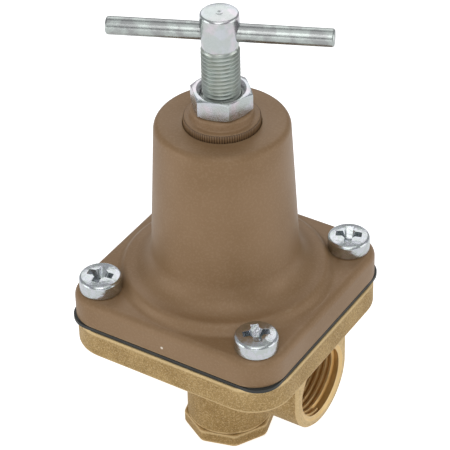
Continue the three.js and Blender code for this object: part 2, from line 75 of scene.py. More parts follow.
def make_camera():
    """Adds the camera and makes it the scene's own."""
    sin_a, cos_a = math.sin(CAMERA_AZIMUTH), math.cos(CAMERA_AZIMUTH)
    sin_e, cos_e = math.sin(CAMERA_ELEVATION), math.cos(CAMERA_ELEVATION)
    back = Vector((sin_a * cos_e, -cos_a * cos_e, sin_e))
    level_right = Vector((cos_a, sin_a, 0))
    level_up = back.cross(level_right)
    right = math.cos(CAMERA_ROLL) * level_right + math.sin(CAMERA_ROLL) * level_up
    up = math.cos(CAMERA_ROLL) * level_up - math.sin(CAMERA_ROLL) * level_right
    place = CAMERA_AIM + back * CAMERA_DISTANCE
    data = bpy.data.cameras.new("camera")
    data.lens = CAMERA_LENS
    data.sensor_width = 36
    camera = bpy.data.objects.new("camera", data)
    turn = Matrix((right, up, back)).transposed()
    camera.matrix_world = Matrix.Translation(place) @ turn.to_4x4()
    bpy.context.collection.objects.link(camera)
    bpy.context.scene.camera = camera
    return camera


camera = make_camera()
print("camera height, mm:", round(camera.location.z / MM))


# %% [markdown]
# ## Shared effects as node groups
# Cast skin, paint and plating all need small irregularities. A node group is a recipe with named
# sockets: it is built once and placed in many materials, each with its own values. The groups
# here give only masks and heights, and every material keeps its own shader.

# %% Node group helpers
def start_group(name, inputs, outputs):
    """A new shader node group with float sockets; inputs maps a name to its default."""
    group = bpy.data.node_groups.new(name, "ShaderNodeTree")
    for label, default in inputs.items():
        socket = group.interface.new_socket(label, in_out="INPUT", socket_type="NodeSocketFloat")
        socket.default_value = default
    for label in outputs:
        group.interface.new_socket(label, in_out="OUTPUT", socket_type="NodeSocketFloat")
    return group, group.nodes.new("NodeGroupInput"), group.nodes.new("NodeGroupOutput")


def add_node(tree, kind, links=None, **settings):
    """Adds a node, sets its options, and links or fills its inputs by name or number."""
    node = tree.nodes.new(kind)
    for key, value in settings.items():
        setattr(node, key, value)
    for key, value in (links or {}).items():
        if isinstance(value, bpy.types.NodeSocket):
            tree.links.new(value, node.inputs[key])
        else:
            node.inputs[key].default_value = value
    return node


def smooth_range(tree, value, low, high, to_low=0.0, to_high=1.0):
    """Maps a value from one range to another along an S-curve."""
    links = {"Value": value, "From Min": low, "From Max": high, "To Min": to_low, "To Max": to_high}
    return add_node(tree, "ShaderNodeMapRange", links, interpolation_type="SMOOTHSTEP").outputs["Result"]


def per_metre(group, size):
    """How often a size in millimetres fits into a metre, which is a texture's scale."""
    return add_node(group, "ShaderNodeMath", {0: 1000.0, 1: size}, operation="DIVIDE").outputs[0]


def from_half(group, amount, operation):
    """One half plus or minus an amount."""
    return add_node(group, "ShaderNodeMath", {0: 0.5, 1: amount}, operation=operation).outputs[0]


# %% Grain: the small lumps of a casting or a sprayed coat
def build_grain():
    sockets = {"Size mm": 0.4, "Detail": 3.0}
    group, inward, outward = start_group("surface_grain", sockets, ["Height", "Speckle"])
    place = add_node(group, "ShaderNodeTexCoord").outputs["Object"]
    scale = per_metre(group, inward.outputs["Size mm"])
    lumps = add_node(group, "ShaderNodeTexNoise", {
        "Vector": place, "Scale": scale, "Detail": inward.outputs["Detail"], "Roughness": 0.6})
    finer = add_node(group, "ShaderNodeMath", {0: scale, 1: 1.3}, operation="MULTIPLY")
    finer_links = {"Vector": place, "Scale": finer.outputs[0], "Detail": 2.0}
    specks = add_node(group, "ShaderNodeTexNoise", finer_links)
    group.links.new(lumps.outputs["Fac"], outward.inputs["Height"])
    group.links.new(smooth_range(group, specks.outputs["Fac"], 0.46, 0.66), outward.inputs["Speckle"])
    return group


GRAIN = build_grain()


# %% Clouds: slow drifts of colour or gloss across a part
def build_clouds():
    group, inward, outward = start_group("slow_clouds", {"Size mm": 15.0, "Contrast": 0.25}, ["Cloud"])
    place = add_node(group, "ShaderNodeTexCoord").outputs["Object"]
    scale = per_metre(group, inward.outputs["Size mm"])
    noise = add_node(group, "ShaderNodeTexNoise", {"Vector": place, "Scale": scale, "Detail": 2.0})
    low = from_half(group, inward.outputs["Contrast"], "SUBTRACT")
    high = from_half(group, inward.outputs["Contrast"], "ADD")
    cloud = smooth_range(group, noise.outputs["Fac"], low, high)
    group.links.new(cloud, outward.inputs["Cloud"])
    return group


CLOUDS = build_clouds()


# %% Edge wear and painted light: corners lightened for rubbed wear and as a painted highlight, creases darkened as painted shade
def build_edge_wear_and_shade():
    group, inward, outward = start_group("edge_wear_and_shade", {"Spread": 0.08}, ["Edge", "Crease"])
    sharpness = add_node(group, "ShaderNodeNewGeometry").outputs["Pointiness"]
    edge_top = from_half(group, inward.outputs["Spread"], "ADD")
    crease_low = from_half(group, inward.outputs["Spread"], "SUBTRACT")
    # Edge: lighter corners, partly rubbed wear and partly a painted highlight
    edge = smooth_range(group, sharpness, 0.505, edge_top)
    # Crease: a mask for painted shade in creases, grooves and recesses
    crease = smooth_range(group, sharpness, crease_low, 0.495, 1.0, 0.0)
    group.links.new(edge, outward.inputs["Edge"])
    group.links.new(crease, outward.inputs["Crease"])
    return group


EDGE_WEAR_AND_SHADE = build_edge_wear_and_shade()


# %% Scratches: the fine lines that turning, rolling and handling leave
def build_scratches():
    group, inward, outward = start_group("fine_scratches", {"Spacing mm": 0.15}, ["Height"])
    place = add_node(group, "ShaderNodeTexCoord").outputs["Object"]
    scale = per_metre(group, inward.outputs["Spacing mm"])
    stretched = add_node(group, "ShaderNodeMapping", {"Vector": place, "Scale": (0.08, 0.08, 1.0)})
    noise = add_node(group, "ShaderNodeTexNoise", {
        "Vector": stretched.outputs[0], "Scale": scale, "Detail": 2.0})
    group.links.new(noise.outputs["Fac"], outward.inputs["Height"])
    return group


SCRATCHES = build_scratches()
print("node groups:", sorted(group.name for group in bpy.data.node_groups))


# %% [markdown]
# ## Materials
# Each finish is a Principled shader whose base colour, roughness and normal come from the groups
# above. Colours are given as linear values, which is what the shader reads.

# %% Material helpers
def start_material(name):
    material = bpy.data.materials.new(name)
    material.use_nodes = True
    return material, material.node_tree, material.node_tree.nodes["Principled BSDF"]


def use_group(tree, group, **values):
    node = add_node(tree, "ShaderNodeGroup", node_tree=group)
    for label, value in values.items():
        node.inputs[label.replace("_", " ")].default_value = value
    return node


def mix_colours(tree, factor, first, second):
    """Blends two colours, each a socket or a linear RGB triple."""
    node = add_node(tree, "ShaderNodeMix", data_type="RGBA")
    for index, value in ((0, factor), (6, first), (7, second)):
        if isinstance(value, bpy.types.NodeSocket):
            tree.links.new(value, node.inputs[index])
        else:
            node.inputs[index].default_value = value if index == 0 else (*value, 1.0)
    return node.outputs[2]


def share_of(tree, mask, most):
    """Scales a 0 to 1 mask so that it reaches only a share of its full strength."""
    return smooth_range(tree, mask, 0.0, 1.0, 0.0, most)


def add_bump(tree, height, depth_mm):
    """A bump of a real depth."""
    links = {"Height": height, "Distance": depth_mm * MM, "Strength": 1.0}
    return add_node(tree, "ShaderNodeBump", links).outputs["Normal"]


def connect(tree, shader, **sockets):
    """Links sockets to the shader's inputs; an underscore stands for a space in the label."""
    for label, socket in sockets.items():
        tree.links.new(socket, shader.inputs[label.replace("_", " ")])


# %% [markdown]
# ### Spring cage paint
# The cage is sprayed with a tan, semi-gloss paint that hides the casting but leaves its faint
# orange peel. Two close browns drift into each other, and the coat thins to a lighter tone on edges.

# %% Spring cage paint
PAINT = (0.272, 0.166, 0.084)
PAINT_DEEP = (0.240, 0.142, 0.066)
PAINT_THIN = (0.33, 0.220, 0.124)
CHIP_PLACE = (-0.2, -35.4, 54.1)  # mm, on the front edge of the flange
CHIP_SIZE = 0.55  # mm
CHIP_COLOUR = (0.75, 0.68, 0.58)


def make_paint():
    material, tree, shader = start_material("bonnet_paint")
    clouds = use_group(tree, CLOUDS, Size_mm=22.0, Contrast=0.2)
    grain = use_group(tree, GRAIN, Size_mm=0.9, Detail=3.0)
    wear_and_shade = use_group(tree, EDGE_WEAR_AND_SHADE, Spread=0.06)
    body = mix_colours(tree, clouds.outputs["Cloud"], PAINT, PAINT_DEEP)
    specked = mix_colours(tree, share_of(tree, grain.outputs["Speckle"], 0.25), body, PAINT_THIN)
    worn = mix_colours(tree, share_of(tree, wear_and_shade.outputs["Edge"], 0.5), specked, PAINT_THIN)
    place = add_node(tree, "ShaderNodeTexCoord").outputs["Object"]
    chip_centre = tuple(value * MM for value in CHIP_PLACE)
    away = add_node(tree, "ShaderNodeVectorMath", {0: place, 1: chip_centre}, operation="DISTANCE")
    chip = smooth_range(tree, away.outputs["Value"], 0.5 * CHIP_SIZE * MM, CHIP_SIZE * MM, 1.0, 0.0)
    colour = mix_colours(tree, chip, worn, CHIP_COLOUR)
    gloss = smooth_range(tree, clouds.outputs["Cloud"], 0.0, 1.0, 0.40, 0.47)
    normal = add_bump(tree, grain.outputs["Height"], 0.035)
    connect(tree, shader, Base_Color=colour, Roughness=gloss, Normal=normal)
    shader.inputs["Metallic"].default_value = 0.15
    shader.inputs["Specular IOR Level"].default_value = 0.4
    return material


paint = make_paint()


# %% Paint over the knurled bush
# Painted shade in the knurl's grooves
KNURL_GROOVE_SHADE = (0.10, 0.056, 0.025)
KNURL_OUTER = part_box("bonnet_insert")[1].x
KNURL_DEPTH = 0.26 * MM


def make_knurl_paint():
    """The same paint with painted shade in the grooves of the knurl: a groove is nearer the axis than a
    tooth.
    """
    material, tree, shader = start_material("knurl_paint")
    grain = use_group(tree, GRAIN, Size_mm=0.7, Detail=3.0)
    place = add_node(tree, "ShaderNodeTexCoord").outputs["Object"]
    split = add_node(tree, "ShaderNodeSeparateXYZ", {"Vector": place})
    flat = add_node(tree, "ShaderNodeCombineXYZ", {"X": split.outputs["X"], "Y": split.outputs["Y"]})
    length = add_node(tree, "ShaderNodeVectorMath", {0: flat.outputs[0]}, operation="LENGTH")
    reach = length.outputs["Value"]
    groove = smooth_range(tree, reach, KNURL_OUTER - KNURL_DEPTH, KNURL_OUTER, 1.0, 0.0)
    collar = smooth_range(tree, reach, KNURL_OUTER - 1.3 * KNURL_DEPTH, KNURL_OUTER - 1.1 * KNURL_DEPTH)
    groove_shade = add_node(tree, "ShaderNodeMath", {0: groove, 1: collar}, operation="MULTIPLY").outputs[0]
    body = mix_colours(tree, grain.outputs["Speckle"], PAINT, PAINT_DEEP)
    # Painted shade where the mask finds a groove
    colour = mix_colours(tree, groove_shade, body, KNURL_GROOVE_SHADE)
    connect(tree, shader, Base_Color=colour, Normal=add_bump(tree, grain.outputs["Height"], 0.03))
    shader.inputs["Roughness"].default_value = 0.45
    shader.inputs["Metallic"].default_value = 0.1
    return material


knurl_paint = make_knurl_paint()


# %% [markdown]
# ### Cast brass
# Sand-cast brass keeps the texture of the mould: sub-millimetre lumps that scatter the light, so
# it looks sandy rather than shiny. The metal shows through, so it stays metallic, but rough.

# %% Cast brass
BRASS = (0.47, 0.320, 0.134)
BRASS_DULL = (0.38, 0.248, 0.094)
BRASS_BRIGHT = (0.74, 0.56, 0.30)
BRASS_PIT = (0.20, 0.122, 0.046)


def make_cast_brass():
    material, tree, shader = start_material("cast_brass")
    clouds = use_group(tree, CLOUDS, Size_mm=9.0, Contrast=0.22)
    grain = use_group(tree, GRAIN, Size_mm=0.6, Detail=4.0)
    wear_and_shade = use_group(tree, EDGE_WEAR_AND_SHADE, Spread=0.05)
    body = mix_colours(tree, clouds.outputs["Cloud"], BRASS, BRASS_DULL)
    pits = smooth_range(tree, grain.outputs["Height"], 0.36, 0.50, 0.5, 0.0)
    pitted = mix_colours(tree, pits, body, BRASS_PIT)
    specked = mix_colours(tree, share_of(tree, grain.outputs["Speckle"], 0.35), pitted, BRASS_BRIGHT)
    # Edges turn bright brass: partly rubbed wear, partly a painted highlight
    colour = mix_colours(tree, share_of(tree, wear_and_shade.outputs["Edge"], 0.8), specked, BRASS_BRIGHT)
    rough = smooth_range(tree, grain.outputs["Speckle"], 0.0, 1.0, 0.62, 0.45)
    normal = add_bump(tree, grain.outputs["Height"], 0.17)
    connect(tree, shader, Base_Color=colour, Roughness=rough, Normal=normal)
    shader.inputs["Metallic"].default_value = 0.7
    return material


cast_brass = make_cast_brass()


# %% Machined brass: threads, chamfers and turned inner parts
TURNED = (0.84, 0.60, 0.28)
TURNED_DULL = (0.74, 0.50, 0.21)
# Painted shade for thread grooves and other creases
THREAD_SHADE = (0.50, 0.29, 0.10)


def make_machined_brass():
    material, tree, shader = start_material("machined_brass")
    lines = use_group(tree, SCRATCHES, Spacing_mm=0.12)
    wear_and_shade = use_group(tree, EDGE_WEAR_AND_SHADE, Spread=0.07)
    clouds = use_group(tree, CLOUDS, Size_mm=4.0, Contrast=0.3)
    body = mix_colours(tree, clouds.outputs["Cloud"], TURNED, TURNED_DULL)
    # Creases take painted shade; edges take bright brass, partly rubbed wear and partly a painted highlight
    creased = mix_colours(tree, wear_and_shade.outputs["Crease"], body, THREAD_SHADE)
    colour = mix_colours(tree, wear_and_shade.outputs["Edge"], creased, BRASS_BRIGHT)
    gloss = smooth_range(tree, lines.outputs["Height"], 0.3, 0.7, 0.36, 0.5)
    normal = add_bump(tree, lines.outputs["Height"], 0.01)
    connect(tree, shader, Base_Color=colour, Roughness=gloss, Normal=normal)
    shader.inputs["Metallic"].default_value = 0.85
    return material


machined_brass = make_machined_brass()


# %% [markdown]
# ### Bright zinc plate
# Zinc with a clear passivate is silvery with faint pink, yellow and green casts, because the
# passivate film is thin enough to colour light. The casts are slow clouds; the fine lines are
# from the part's own making. In the thread the film gathers and looks green-grey.

# %% Bright zinc plate
ZINC = (0.60, 0.625, 0.66)
ZINC_PINK = (0.70, 0.61, 0.65)
ZINC_GREEN = (0.52, 0.57, 0.54)
# Painted shade for creases, recesses and thread grooves
ZINC_DARK = (0.13, 0.145, 0.13)
ZINC_THREAD = (0.47, 0.50, 0.455)
ZINC_BAR = (0.36, 0.37, 0.365)
LINE_DEPTH = 0.006  # mm, the fine lines of drawing and turning


def make_zinc(name, roughness, crease_shade, cast_size, pink_share=0.6, base=ZINC, dents=0.0):
    """A bright plate over base; dents is the depth in mm of a hammered skin, for punched heads."""
    material, tree, shader = start_material(name)
    pink = use_group(tree, CLOUDS, Size_mm=cast_size, Contrast=0.12)
    green = use_group(tree, CLOUDS, Size_mm=cast_size * 0.63, Contrast=0.12)
    lines = use_group(tree, SCRATCHES, Spacing_mm=0.1)
    wear_and_shade = use_group(tree, EDGE_WEAR_AND_SHADE, Spread=0.09)
    blush = share_of(tree, pink.outputs["Cloud"], pink_share)
    body = mix_colours(tree, blush, base, ZINC_PINK)
    cast = mix_colours(tree, share_of(tree, green.outputs["Cloud"], 0.7), body, ZINC_GREEN)
    # Creases, recesses and thread grooves are darkened toward ZINC_DARK: painted shade
    shade = share_of(tree, wear_and_shade.outputs["Crease"], crease_shade)
    colour = mix_colours(tree, shade, cast, ZINC_DARK)
    gloss = smooth_range(tree, lines.outputs["Height"], 0.3, 0.7, roughness, roughness + 0.1)
    if dents:
        hammered = use_group(tree, CLOUDS, Size_mm=1.1, Contrast=0.5)
        normal = add_bump(tree, hammered.outputs["Cloud"], dents)
    else:
        normal = add_bump(tree, lines.outputs["Height"], LINE_DEPTH)
    connect(tree, shader, Base_Color=colour, Roughness=gloss, Normal=normal)
    shader.inputs["Metallic"].default_value = 1.0
    return material


zinc = make_zinc("zinc_plate", 0.18, 0.3, 6.0)
zinc_thread = make_zinc("zinc_thread", 0.30, 0.9, 5.0, pink_share=0.0, base=ZINC_THREAD)
zinc_cast = make_zinc("zinc_screw_head", 0.17, 0.25, 2.2, pink_share=0.15, dents=0.05)
zinc_bar = make_zinc("zinc_bar", 0.22, 0.3, 8.0, pink_share=0.0, base=ZINC_BAR)


# %% Plain steel, rubber
STEEL = (0.42, 0.43, 0.44)
STEEL_DULL = (0.34, 0.345, 0.35)
RUBBER = (0.016, 0.018, 0.017)
RUBBER_DUSTY = (0.03, 0.033, 0.029)


def make_steel():
    material, tree, shader = start_material("plain_steel")
    lines = use_group(tree, SCRATCHES, Spacing_mm=0.2)
    clouds = use_group(tree, CLOUDS, Size_mm=8.0, Contrast=0.3)
    colour = mix_colours(tree, clouds.outputs["Cloud"], STEEL, STEEL_DULL)
    gloss = smooth_range(tree, lines.outputs["Height"], 0.3, 0.7, 0.3, 0.45)
    normal = add_bump(tree, lines.outputs["Height"], 0.01)
    connect(tree, shader, Base_Color=colour, Roughness=gloss, Normal=normal)
    shader.inputs["Metallic"].default_value = 1.0
    return material


def make_rubber():
    material, tree, shader = start_material("black_rubber")
    grain = use_group(tree, GRAIN, Size_mm=0.5, Detail=3.0)
    clouds = use_group(tree, CLOUDS, Size_mm=6.0, Contrast=0.3)
    colour = mix_colours(tree, clouds.outputs["Cloud"], RUBBER, RUBBER_DUSTY)
    connect(tree, shader, Base_Color=colour, Normal=add_bump(tree, grain.outputs["Height"], 0.04))
    shader.inputs["Roughness"].default_value = 0.5
    return material


steel = make_steel()
rubber = make_rubber()
print("materials:", sorted(material.name for material in bpy.data.materials))


# %% [markdown]
# ## Mesh helpers
# Nearly every piece here was turned on a lathe or cast with a round or square outline. A turned
# piece is half an outline, with some corners rounded, spun about its axis. A cast flange is a loop
# that is extruded ring by ring, and each ring follows an outline of its own.

# %% Finish a mesh
POLE = 0.0001 * MM  # a ring this small closes to a point when its doubles are merged


def sharpen(mesh, smooth_angle):
    """Smooth shading everywhere but along edges that turn by more than the angle."""
    mesh.shade_smooth()
    mesh.set_sharp_from_angle(angle=math.radians(smooth_angle))


def new_piece(name, mesh_edit, material, smooth_angle=32):
    """Makes an object from a bmesh: doubles merged, faces outwards, sharp edges marked."""
    bmesh.ops.remove_doubles(mesh_edit, verts=mesh_edit.verts[:], dist=0.0005 * MM)
    bmesh.ops.dissolve_degenerate(mesh_edit, edges=mesh_edit.edges[:], dist=0.0002 * MM)
    bmesh.ops.recalc_face_normals(mesh_edit, faces=mesh_edit.faces[:])
    mesh = bpy.data.meshes.new(name)
    mesh_edit.to_mesh(mesh)
    mesh_edit.free()
    sharpen(mesh, smooth_angle)
    mesh.materials.append(material)
    piece = bpy.data.objects.new(name, mesh)
    bpy.context.collection.objects.link(piece)
    return piece


def apply_modifiers(piece):
    """Replaces the piece's mesh by what its modifiers make of it."""
    graph = bpy.context.evaluated_depsgraph_get()
    result = bpy.data.meshes.new_from_object(piece.evaluated_get(graph))
    rough = piece.data
    piece.modifiers.clear()
    piece.data = result
    bpy.data.meshes.remove(rough)
    result.name = piece.name


def carve(piece, tool, operation="DIFFERENCE"):
    """Cuts a tool away from a piece, or joins it on, and removes the tool."""
    step = piece.modifiers.new("carve", "BOOLEAN")
    step.object = tool
    step.operation = operation
    step.solver = "EXACT"
    apply_modifiers(piece)
    bpy.data.objects.remove(tool, do_unlink=True)


def soften_edges(piece, width_mm):
    """Rounds every sharp edge a little, and keeps the flats flat."""
    bevel = piece.modifiers.new("soft edges", "BEVEL")
    bevel.width = width_mm * MM
    bevel.segments = 2
    bevel.limit_method = "ANGLE"
    bevel.angle_limit = math.radians(30)
    bevel.harden_normals = False
    apply_modifiers(piece)
    sharpen(piece.data, 40)
    flats = piece.modifiers.new("flat faces", "WEIGHTED_NORMAL")
    flats.keep_sharp = True


def stand_for(piece, node, body):
    """The piece hides its CAD node and rides on a body."""
    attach(piece, body)
    if node is not None:
        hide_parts(node)
    print(f"{piece.name}: {len(piece.data.polygons)} faces")
    return piece


# %% Turned pieces
def arc(radius, height, wide, tall, first, last, steps):
    """Points along an ellipse about (radius, height), between two angles in degrees."""
    points = []
    for step in range(steps + 1):
        angle = math.radians(first + (last - first) * step / steps)
        points.append((radius + wide * math.cos(angle), height + tall * math.sin(angle)))
    return points


def spin_outline(mesh_edit, outline, rounds=None, steps=96):
    """Spins (radius, height) corners about Z; rounds maps a corner's number to its radius."""
    corners = [mesh_edit.verts.new((radius, 0, height)) for radius, height in outline]
    for pair in zip(corners, corners[1:]):
        mesh_edit.edges.new(pair)
    for number, radius in (rounds or {}).items():
        bmesh.ops.bevel(mesh_edit, geom=[corners[number]], offset=radius, segments=5, profile=0.5,
                        affect="VERTICES", material=-1)
    profile = mesh_edit.verts[:] + mesh_edit.edges[:]
    bmesh.ops.spin(mesh_edit, geom=profile, cent=(0, 0, 0), axis=(0, 0, 1), dvec=(0, 0, 0),
                   angle=2 * math.pi, steps=steps, use_merge=True, use_duplicate=False)


def turned(name, outline, material, rounds=None, steps=96, turn=None):
    """A lathe piece about Z; turn is a matrix that lays it along another axis."""
    mesh_edit = bmesh.new()
    spin_outline(mesh_edit, outline, rounds, steps)
    if turn is not None:
        bmesh.ops.transform(mesh_edit, matrix=turn, verts=mesh_edit.verts[:])
    return new_piece(name, mesh_edit, material)


def drum(name, radius, low, high, material, turn=None, steps=96):
    """A plain cylinder, used to join or to cut."""
    outline = [(0, low), (radius, low), (radius, high), (0, high)]
    return turned(name, outline, material, steps=steps, turn=turn)


# %% Cast pieces, ring by ring
def ring_edges(grown):
    """The new verts and the new edges between them, out of what an extrusion returns."""
    loop = {item for item in grown if isinstance(item, bmesh.types.BMVert)}
    edges = [item for item in grown if isinstance(item, bmesh.types.BMEdge) and set(item.verts) <= loop]
    return loop, edges


def circle(radius):
    return lambda angle: radius


def rounded_square(half, corner):
    """How far the outline of a square with round corners is from its centre, by direction."""
    straight = half - corner

    def reach(angle):
        across, along = abs(math.cos(angle)), abs(math.sin(angle))
        flat = half / max(across, along)
        if flat * min(across, along) <= straight:
            return flat
        middle = straight * (across + along)
        return middle + math.sqrt(middle ** 2 - 2 * straight ** 2 + corner ** 2)

    return reach


def cast_rings(mesh_edit, rings, steps=256, closed=True):
    """Extrudes a loop through rings of (outline, height); closed joins the last ring to the first."""
    loop = bmesh.ops.create_circle(mesh_edit, cap_ends=False, radius=1, segments=steps)["verts"]
    edges = list({edge for vert in loop for edge in vert.link_edges})

    def place(verts, outline, height):
        for vert in verts:
            angle = math.atan2(vert.co.y, vert.co.x)
            reach = outline(angle)
            vert.co = (reach * math.cos(angle), reach * math.sin(angle), height)

    place(loop, *rings[0])
    for outline, height in rings[1:] + rings[:1] * closed:
        loop, edges = ring_edges(bmesh.ops.extrude_edge_only(mesh_edit, edges=edges)["geom"])
        place(loop, outline, height)


def round_rings(points):
    """Plain circular rings from (radius, height) points."""
    return [(circle(max(radius, POLE)), height) for radius, height in points]


# %% [markdown]
# ## Spring cage
# The bell, its raised foot and the square flange are one casting. A circle can be extruded upwards
# through rings that slowly turn from the flange's rounded square into the bell's circle. That keeps
# one clean skin, so the big fillet and the rounded edges shade without any seam.

# %% Spring cage outline
bonnet_low, bonnet_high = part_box("bonnet")
bush_low, bush_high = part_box("bonnet_insert")
nut_low, nut_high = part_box("lock_nut")
FLANGE_HALF = bonnet_high.x
FLANGE_CORNER = 10 * MM
FLANGE_BOTTOM = bonnet_low.z
FLANGE_TOP = FLANGE_BOTTOM + 9 * MM
FLANGE_EDGE = 2.4 * MM
CROWN = bonnet_high.z
BUSH_SEAT_R = bush_high.x + 0.05 * MM
SEAT_DEPTH = 1.0 * MM
WALL_TOP_R = 19.8 * MM
WALL_FOOT_R = 21.95 * MM
WALL_FOOT_Z = FLANGE_TOP + 11 * MM
SHOULDER = 2.2 * MM
DOME_R = 31.4 * MM
DOME_TOP = FLANGE_TOP + 2.8 * MM
DOME_EDGE = 2.4 * MM
FOOT_FILLET = 2.2 * MM
FOOT_ANGLE = 50  # degrees, the steepest slope of the dome's edge
BUSH_HOLE_R = 8.2 * MM
CAVITY_ROOF = CROWN - 4.2 * MM


def bell_rings():
    """From the bush's seat over the crown, down the bell and out to the foot of the dome."""
    shoulder_r = WALL_TOP_R - SHOULDER
    seat = CROWN - SEAT_DEPTH
    points = [(BUSH_HOLE_R, CAVITY_ROOF), (BUSH_HOLE_R, seat), (BUSH_SEAT_R, seat)]
    points += [(BUSH_SEAT_R, CROWN - 0.7 * MM), (BUSH_SEAT_R + 0.25 * MM, CROWN - 0.4 * MM)]
    points += [(BUSH_SEAT_R + 2 * MM, CROWN - 0.25 * MM), (shoulder_r - 1.2 * MM, CROWN - 0.04 * MM)]
    points += arc(shoulder_r, CROWN - SHOULDER, SHOULDER, SHOULDER, 86, 4, 9)
    fillet_wide = DOME_R - DOME_EDGE - WALL_FOOT_R - 0.2 * MM
    fillet_tall = WALL_FOOT_Z - DOME_TOP
    wall_top = CROWN - SHOULDER
    for step in range(1, 8):
        share = step / 8
        radius = WALL_TOP_R + (WALL_FOOT_R - WALL_TOP_R) * share
        points.append((radius, wall_top - (wall_top - WALL_FOOT_Z) * share))
    points += arc(WALL_FOOT_R + fillet_wide, WALL_FOOT_Z, fillet_wide, fillet_tall, 183, 266, 14)
    steep = 90 - FOOT_ANGLE
    points += arc(DOME_R - DOME_EDGE, DOME_TOP - DOME_EDGE, DOME_EDGE, DOME_EDGE, 86, steep, 8)
    foot_r, foot_z = DOME_R + 0.9 * FOOT_FILLET, FLANGE_TOP + FOOT_FILLET
    points += arc(foot_r, foot_z, FOOT_FILLET, FOOT_FILLET, 180 + steep, 268, 7)
    return round_rings(points)


def flange_rings():
    """Over the flat top and the rounded edge to the underside, then up inside the bell."""
    rings = []
    edge = arc(-FLANGE_EDGE, FLANGE_TOP - FLANGE_EDGE, FLANGE_EDGE, FLANGE_EDGE, 92, 0, 9)
    edge += [(0, FLANGE_BOTTOM + 0.8 * MM), (0, FLANGE_BOTTOM + 0.4 * MM), (-0.3 * MM, FLANGE_BOTTOM)]
    for inset, height in edge:
        rings.append((rounded_square(FLANGE_HALF + inset, FLANGE_CORNER + inset), height))
    inside = [(25 * MM, FLANGE_BOTTOM), (25 * MM, FLANGE_BOTTOM + 4 * MM)]
    inside += [(18.8 * MM, FLANGE_BOTTOM + 13 * MM), (16.8 * MM, CAVITY_ROOF - 2 * MM)]
    inside += [(14.8 * MM, CAVITY_ROOF)]
    return rings + round_rings(inside)


# %% Build the spring cage
def make_spring_cage():
    mesh_edit = bmesh.new()
    cast_rings(mesh_edit, bell_rings() + flange_rings())
    piece = new_piece("spring_cage", mesh_edit, paint, smooth_angle=38)
    return stand_for(piece, "bonnet", "regulator_body")


make_spring_cage()


# %% [markdown]
# ## Knurled bush
# A threaded steel bush is pressed into the crown. Its collar carries a fine straight knurl that
# keeps it from turning. The extruded ring gives the teeth for free: the collar's outline swings
# in and out as the angle goes round, four steps to each tooth.

# %% Knurled bush
KNURLS = 96
BOSS_R = 9.15 * MM
BUSH_BORE_R = 5.7 * MM
COLLAR_TOP = CROWN + 1.9 * MM


def knurled(radius):
    return lambda angle: radius - KNURL_DEPTH * (0.5 - 0.5 * math.cos(KNURLS * angle))


def make_bush():
    collar_r = bush_high.x
    top = bush_high.z
    seat = CROWN - SEAT_DEPTH + 0.05 * MM
    rings = round_rings([(BUSH_BORE_R, bush_low.z), (7.9 * MM, bush_low.z), (7.9 * MM, seat)])
    rings += [(circle(collar_r - KNURL_DEPTH), seat), (knurled(collar_r), seat + 0.1 * MM)]
    rings += [(knurled(collar_r), COLLAR_TOP - 0.35 * MM)]
    upper = [(collar_r - 0.45 * MM, COLLAR_TOP), (BOSS_R + 0.8 * MM, COLLAR_TOP + 0.05 * MM)]
    upper += arc(BOSS_R + 0.7 * MM, COLLAR_TOP + 0.6 * MM, 0.7 * MM, 0.55 * MM, 262, 188, 4)
    upper += arc(BOSS_R - 1.1 * MM, top - 1.0 * MM, 1.1 * MM, 1.0 * MM, 8, 82, 5)
    upper += [(BUSH_BORE_R + 0.6 * MM, top), (BUSH_BORE_R, top - 0.6 * MM)]
    mesh_edit = bmesh.new()
    cast_rings(mesh_edit, rings + round_rings(upper), steps=4 * KNURLS)
    piece = new_piece("knurled_bush", mesh_edit, knurl_paint, smooth_angle=50)
    return stand_for(piece, "bonnet_insert", "regulator_body")


make_bush()


# %% [markdown]
# ## Threads
# A thread is one tooth's outline that turns and climbs by its pitch on every turn. Blender's spin
# can climb too: its dvec moves each step along the axis. Neighbouring turns share their root points,
# so merging doubles makes one skin. The two spiral ends are then extruded to flat rings, and from
# there the piece goes on as a plain turned part.

# %% Thread helpers
THREAD_STEPS = 60


def spin_thread(mesh_edit, crest, root, pitch, low, turns, crest_flat=0.13):
    """A helical skin that climbs from low; crest may be inside root for an internal thread."""
    flat = crest_flat * pitch
    groove = 0.13 * pitch
    slope = (pitch - flat - groove) / 2
    outline = [(root, 0), (crest, slope), (crest, slope + flat), (root, pitch - groove), (root, pitch)]
    verts = [mesh_edit.verts.new((radius, 0, low + height)) for radius, height in outline]
    edges = [mesh_edit.edges.new(pair) for pair in zip(verts, verts[1:])]
    bmesh.ops.spin(mesh_edit, geom=verts + edges, cent=(0, 0, 0), axis=(0, 0, 1),
                   dvec=(0, 0, pitch / THREAD_STEPS), angle=2 * math.pi * turns, steps=THREAD_STEPS * turns,
                   use_merge=False, use_duplicate=False)
    bmesh.ops.remove_doubles(mesh_edit, verts=mesh_edit.verts[:], dist=0.003 * MM)


def extend_spiral(mesh_edit, rings, upper):
    """Extrudes the top or bottom border of the skin through flat rings of (radius, height)."""
    border = [edge for edge in mesh_edit.edges if edge.is_boundary]
    heights = [edge.verts[0].co.z for edge in border]
    middle = (min(heights) + max(heights)) / 2
    edges = [edge for edge in border if (edge.verts[0].co.z > middle) == upper]
    for radius, height in rings:
        loop, edges = ring_edges(bmesh.ops.extrude_edge_only(mesh_edit, edges=edges)["geom"])
        reach = max(radius, POLE)
        for vert in loop:
            angle = math.atan2(vert.co.y, vert.co.x)
            vert.co = (reach * math.cos(angle), reach * math.sin(angle), height)


